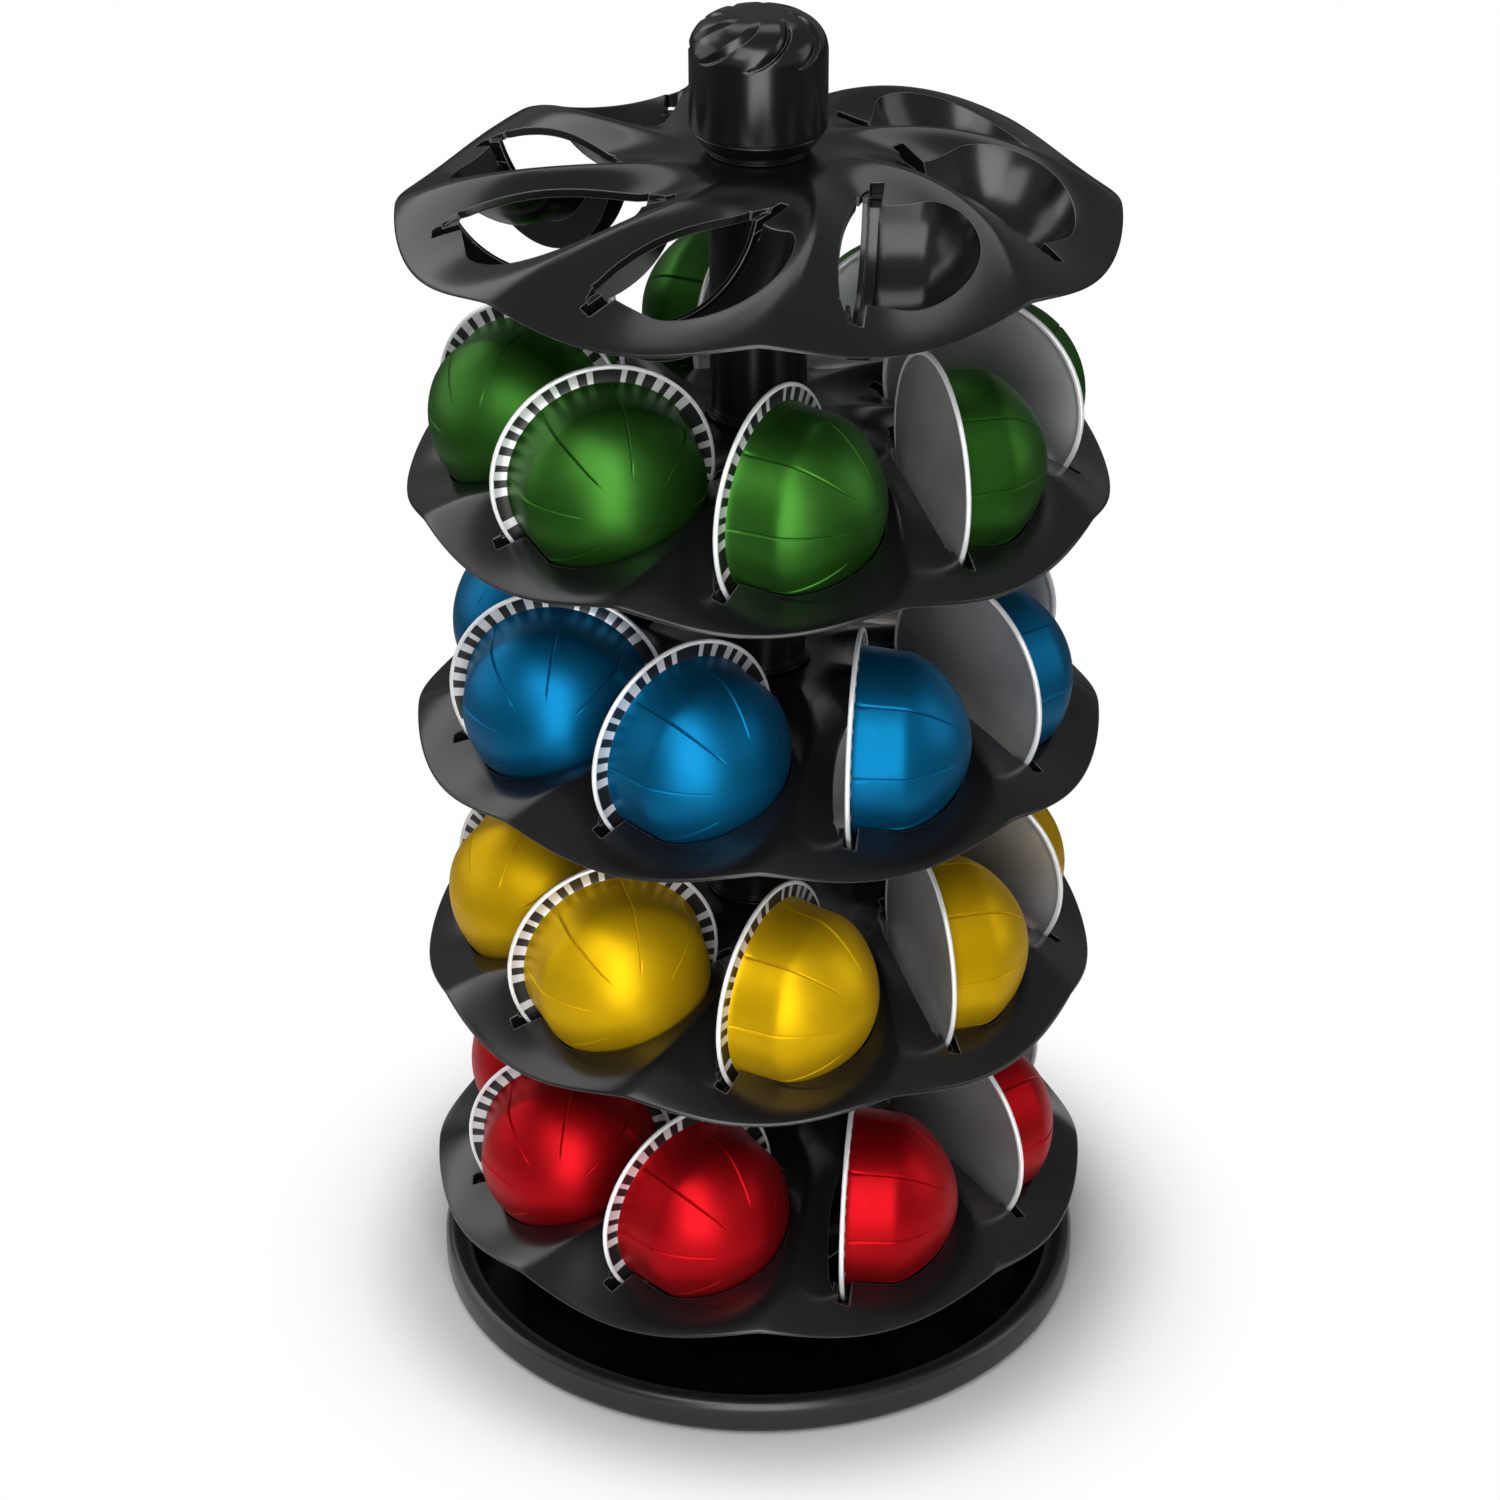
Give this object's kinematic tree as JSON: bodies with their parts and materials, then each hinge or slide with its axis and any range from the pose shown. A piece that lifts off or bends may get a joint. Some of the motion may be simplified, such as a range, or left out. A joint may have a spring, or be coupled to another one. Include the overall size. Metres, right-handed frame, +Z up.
{
  "type": "coffee capsule carousel",
  "caption": "Free-standing turning tower: swirled round tiers with slotted cups hold domed coffee capsules on edge, on one pole between a round base and a knob.",
  "frame": {"origin": "centre of the plane that the feet rest on", "axes": "+Z up along the pole; the picture looks from -Y towards +Y, with +X to its right"},
  "size_m": [0.196, 0.196, 0.396],
  "materials": {
    "tier_black": "satin",
    "base_black": "satin",
    "foot_rubber": "matte",
    "steel": "satin",
    "brass": "satin",
    "cage_nylon": "matte",
    "foil_red": "satin",
    "foil_yellow": "satin",
    "foil_blue": "satin",
    "foil_green": "satin"
  },
  "bodies": {
    "base": {"base_tray": "base_black", "foot_pad_1": "foot_rubber", "foot_pad_2": "foot_rubber", "foot_pad_3": "foot_rubber", "foot_pad_4": "foot_rubber", "bearing_lower_race": "steel"},
    "ball_cage": {"ball_cage": "cage_nylon"},
    "carousel": {"bearing_upper_race": "steel", "turn_hub": "tier_black", "pole_sleeve_1": "tier_black", "pole_sleeve_2": "tier_black", "pole_sleeve_3": "tier_black", "pole_sleeve_4": "tier_black", "pole_sleeve_5": "tier_black", "tie_rod": "steel", "rod_washer": "steel", "lock_nut": "steel", "tier_1": "tier_black", "tier_2": "tier_black", "tier_3": "tier_black", "tier_4": "tier_black", "tier_5": "tier_black", "knob_collar": "tier_black", "knob": "tier_black", "knob_insert": "brass"},
    "capsule_red_1": {"capsule_red_1": "foil_red"},
    "capsule_red_2": {"capsule_red_2": "foil_red"},
    "capsule_red_3": {"capsule_red_3": "foil_red"},
    "capsule_red_4": {"capsule_red_4": "foil_red"},
    "capsule_red_5": {"capsule_red_5": "foil_red"},
    "capsule_red_6": {"capsule_red_6": "foil_red"},
    "capsule_red_7": {"capsule_red_7": "foil_red"},
    "capsule_red_8": {"capsule_red_8": "foil_red"},
    "capsule_yellow_1": {"capsule_yellow_1": "foil_yellow"},
    "capsule_yellow_2": {"capsule_yellow_2": "foil_yellow"},
    "capsule_yellow_3": {"capsule_yellow_3": "foil_yellow"},
    "capsule_yellow_4": {"capsule_yellow_4": "foil_yellow"},
    "capsule_yellow_5": {"capsule_yellow_5": "foil_yellow"},
    "capsule_yellow_6": {"capsule_yellow_6": "foil_yellow"},
    "capsule_yellow_7": {"capsule_yellow_7": "foil_yellow"},
    "capsule_yellow_8": {"capsule_yellow_8": "foil_yellow"},
    "capsule_blue_1": {"capsule_blue_1": "foil_blue"},
    "capsule_blue_2": {"capsule_blue_2": "foil_blue"},
    "capsule_blue_3": {"capsule_blue_3": "foil_blue"},
    "capsule_blue_4": {"capsule_blue_4": "foil_blue"},
    "capsule_blue_5": {"capsule_blue_5": "foil_blue"},
    "capsule_blue_6": {"capsule_blue_6": "foil_blue"},
    "capsule_blue_7": {"capsule_blue_7": "foil_blue"},
    "capsule_blue_8": {"capsule_blue_8": "foil_blue"},
    "capsule_green_1": {"capsule_green_1": "foil_green"},
    "capsule_green_2": {"capsule_green_2": "foil_green"},
    "capsule_green_3": {"capsule_green_3": "foil_green"},
    "capsule_green_4": {"capsule_green_4": "foil_green"},
    "capsule_green_5": {"capsule_green_5": "foil_green"},
    "capsule_green_6": {"capsule_green_6": "foil_green"},
    "capsule_green_7": {"capsule_green_7": "foil_green"},
    "capsule_green_8": {"capsule_green_8": "foil_green"}
  },
  "joints": [
    {"name": "carousel_spin", "type": "hinge", "parent": "base", "child": "carousel", "pos_m": [0, 0, 0.02], "axis": [0, 0, 1], "continuous": true},
    {"name": "ball_cage_turn", "type": "hinge", "parent": "base", "child": "ball_cage", "pos_m": [0, 0, 0.016], "axis": [0, 0, 1], "continuous": true},
    {"name": "red_1_tip_out", "type": "hinge", "parent": "carousel", "child": "capsule_red_1", "pos_m": [0.08284, 0.02401, 0.04135], "axis": [0.108, 0.9942, 0], "range_deg": [0, 60]},
    {"name": "red_2_tip_out", "type": "hinge", "parent": "carousel", "child": "capsule_red_2", "pos_m": [0.0416, 0.07556, 0.04135], "axis": [-0.6266, 0.7793, 0], "range_deg": [0, 60]},
    {"name": "red_3_tip_out", "type": "hinge", "parent": "carousel", "child": "capsule_red_3", "pos_m": [-0.02401, 0.08284, 0.04135], "axis": [-0.9942, 0.108, 0], "range_deg": [0, 60]},
    {"name": "red_4_tip_out", "type": "hinge", "parent": "carousel", "child": "capsule_red_4", "pos_m": [-0.07556, 0.0416, 0.04135], "axis": [-0.7793, -0.6266, 0], "range_deg": [0, 60]},
    {"name": "red_5_tip_out", "type": "hinge", "parent": "carousel", "child": "capsule_red_5", "pos_m": [-0.08284, -0.02401, 0.04135], "axis": [-0.108, -0.9942, 0], "range_deg": [0, 60]},
    {"name": "red_6_tip_out", "type": "hinge", "parent": "carousel", "child": "capsule_red_6", "pos_m": [-0.0416, -0.07556, 0.04135], "axis": [0.6266, -0.7793, 0], "range_deg": [0, 60]},
    {"name": "red_7_tip_out", "type": "hinge", "parent": "carousel", "child": "capsule_red_7", "pos_m": [0.02401, -0.08284, 0.04135], "axis": [0.9942, -0.108, 0], "range_deg": [0, 60]},
    {"name": "red_8_tip_out", "type": "hinge", "parent": "carousel", "child": "capsule_red_8", "pos_m": [0.07556, -0.0416, 0.04135], "axis": [0.7793, 0.6266, 0], "range_deg": [0, 60]},
    {"name": "yellow_1_tip_out", "type": "hinge", "parent": "carousel", "child": "capsule_yellow_1", "pos_m": [0.06735, 0.05389, 0.11735], "axis": [-0.2807, 0.9598, 0], "range_deg": [0, 60]},
    {"name": "yellow_2_tip_out", "type": "hinge", "parent": "carousel", "child": "capsule_yellow_2", "pos_m": [0.00952, 0.08573, 0.11735], "axis": [-0.8771, 0.4802, 0], "range_deg": [0, 60]},
    {"name": "yellow_3_tip_out", "type": "hinge", "parent": "carousel", "child": "capsule_yellow_3", "pos_m": [-0.05389, 0.06735, 0.11735], "axis": [-0.9598, -0.2807, 0], "range_deg": [0, 60]},
    {"name": "yellow_4_tip_out", "type": "hinge", "parent": "carousel", "child": "capsule_yellow_4", "pos_m": [-0.08573, 0.00952, 0.11735], "axis": [-0.4802, -0.8771, 0], "range_deg": [0, 60]},
    {"name": "yellow_5_tip_out", "type": "hinge", "parent": "carousel", "child": "capsule_yellow_5", "pos_m": [-0.06735, -0.05389, 0.11735], "axis": [0.2807, -0.9598, 0], "range_deg": [0, 60]},
    {"name": "yellow_6_tip_out", "type": "hinge", "parent": "carousel", "child": "capsule_yellow_6", "pos_m": [-0.00952, -0.08573, 0.11735], "axis": [0.8771, -0.4802, 0], "range_deg": [0, 60]},
    {"name": "yellow_7_tip_out", "type": "hinge", "parent": "carousel", "child": "capsule_yellow_7", "pos_m": [0.05389, -0.06735, 0.11735], "axis": [0.9598, 0.2807, 0], "range_deg": [0, 60]},
    {"name": "yellow_8_tip_out", "type": "hinge", "parent": "carousel", "child": "capsule_yellow_8", "pos_m": [0.08573, -0.00952, 0.11735], "axis": [0.4802, 0.8771, 0], "range_deg": [0, 60]},
    {"name": "blue_1_tip_out", "type": "hinge", "parent": "carousel", "child": "capsule_blue_1", "pos_m": [0.08284, 0.02401, 0.19335], "axis": [0.108, 0.9942, 0], "range_deg": [0, 60]},
    {"name": "blue_2_tip_out", "type": "hinge", "parent": "carousel", "child": "capsule_blue_2", "pos_m": [0.0416, 0.07556, 0.19335], "axis": [-0.6266, 0.7793, 0], "range_deg": [0, 60]},
    {"name": "blue_3_tip_out", "type": "hinge", "parent": "carousel", "child": "capsule_blue_3", "pos_m": [-0.02401, 0.08284, 0.19335], "axis": [-0.9942, 0.108, 0], "range_deg": [0, 60]},
    {"name": "blue_4_tip_out", "type": "hinge", "parent": "carousel", "child": "capsule_blue_4", "pos_m": [-0.07556, 0.0416, 0.19335], "axis": [-0.7793, -0.6266, 0], "range_deg": [0, 60]},
    {"name": "blue_5_tip_out", "type": "hinge", "parent": "carousel", "child": "capsule_blue_5", "pos_m": [-0.08284, -0.02401, 0.19335], "axis": [-0.108, -0.9942, 0], "range_deg": [0, 60]},
    {"name": "blue_6_tip_out", "type": "hinge", "parent": "carousel", "child": "capsule_blue_6", "pos_m": [-0.0416, -0.07556, 0.19335], "axis": [0.6266, -0.7793, 0], "range_deg": [0, 60]},
    {"name": "blue_7_tip_out", "type": "hinge", "parent": "carousel", "child": "capsule_blue_7", "pos_m": [0.02401, -0.08284, 0.19335], "axis": [0.9942, -0.108, 0], "range_deg": [0, 60]},
    {"name": "blue_8_tip_out", "type": "hinge", "parent": "carousel", "child": "capsule_blue_8", "pos_m": [0.07556, -0.0416, 0.19335], "axis": [0.7793, 0.6266, 0], "range_deg": [0, 60]},
    {"name": "green_1_tip_out", "type": "hinge", "parent": "carousel", "child": "capsule_green_1", "pos_m": [0.06735, 0.05389, 0.26935], "axis": [-0.2807, 0.9598, 0], "range_deg": [0, 60]},
    {"name": "green_2_tip_out", "type": "hinge", "parent": "carousel", "child": "capsule_green_2", "pos_m": [0.00952, 0.08573, 0.26935], "axis": [-0.8771, 0.4802, 0], "range_deg": [0, 60]},
    {"name": "green_3_tip_out", "type": "hinge", "parent": "carousel", "child": "capsule_green_3", "pos_m": [-0.05389, 0.06735, 0.26935], "axis": [-0.9598, -0.2807, 0], "range_deg": [0, 60]},
    {"name": "green_4_tip_out", "type": "hinge", "parent": "carousel", "child": "capsule_green_4", "pos_m": [-0.08573, 0.00952, 0.26935], "axis": [-0.4802, -0.8771, 0], "range_deg": [0, 60]},
    {"name": "green_5_tip_out", "type": "hinge", "parent": "carousel", "child": "capsule_green_5", "pos_m": [-0.06735, -0.05389, 0.26935], "axis": [0.2807, -0.9598, 0], "range_deg": [0, 60]},
    {"name": "green_6_tip_out", "type": "hinge", "parent": "carousel", "child": "capsule_green_6", "pos_m": [-0.00952, -0.08573, 0.26935], "axis": [0.8771, -0.4802, 0], "range_deg": [0, 60]},
    {"name": "green_7_tip_out", "type": "hinge", "parent": "carousel", "child": "capsule_green_7", "pos_m": [0.05389, -0.06735, 0.26935], "axis": [0.9598, 0.2807, 0], "range_deg": [0, 60]},
    {"name": "green_8_tip_out", "type": "hinge", "parent": "carousel", "child": "capsule_green_8", "pos_m": [0.08573, -0.00952, 0.26935], "axis": [0.4802, 0.8771, 0], "range_deg": [0, 60]}
  ],
  "couplings": [
    {"joint": "ball_cage_turn", "follows": "carousel_spin", "ratio": 0.5}
  ]
}
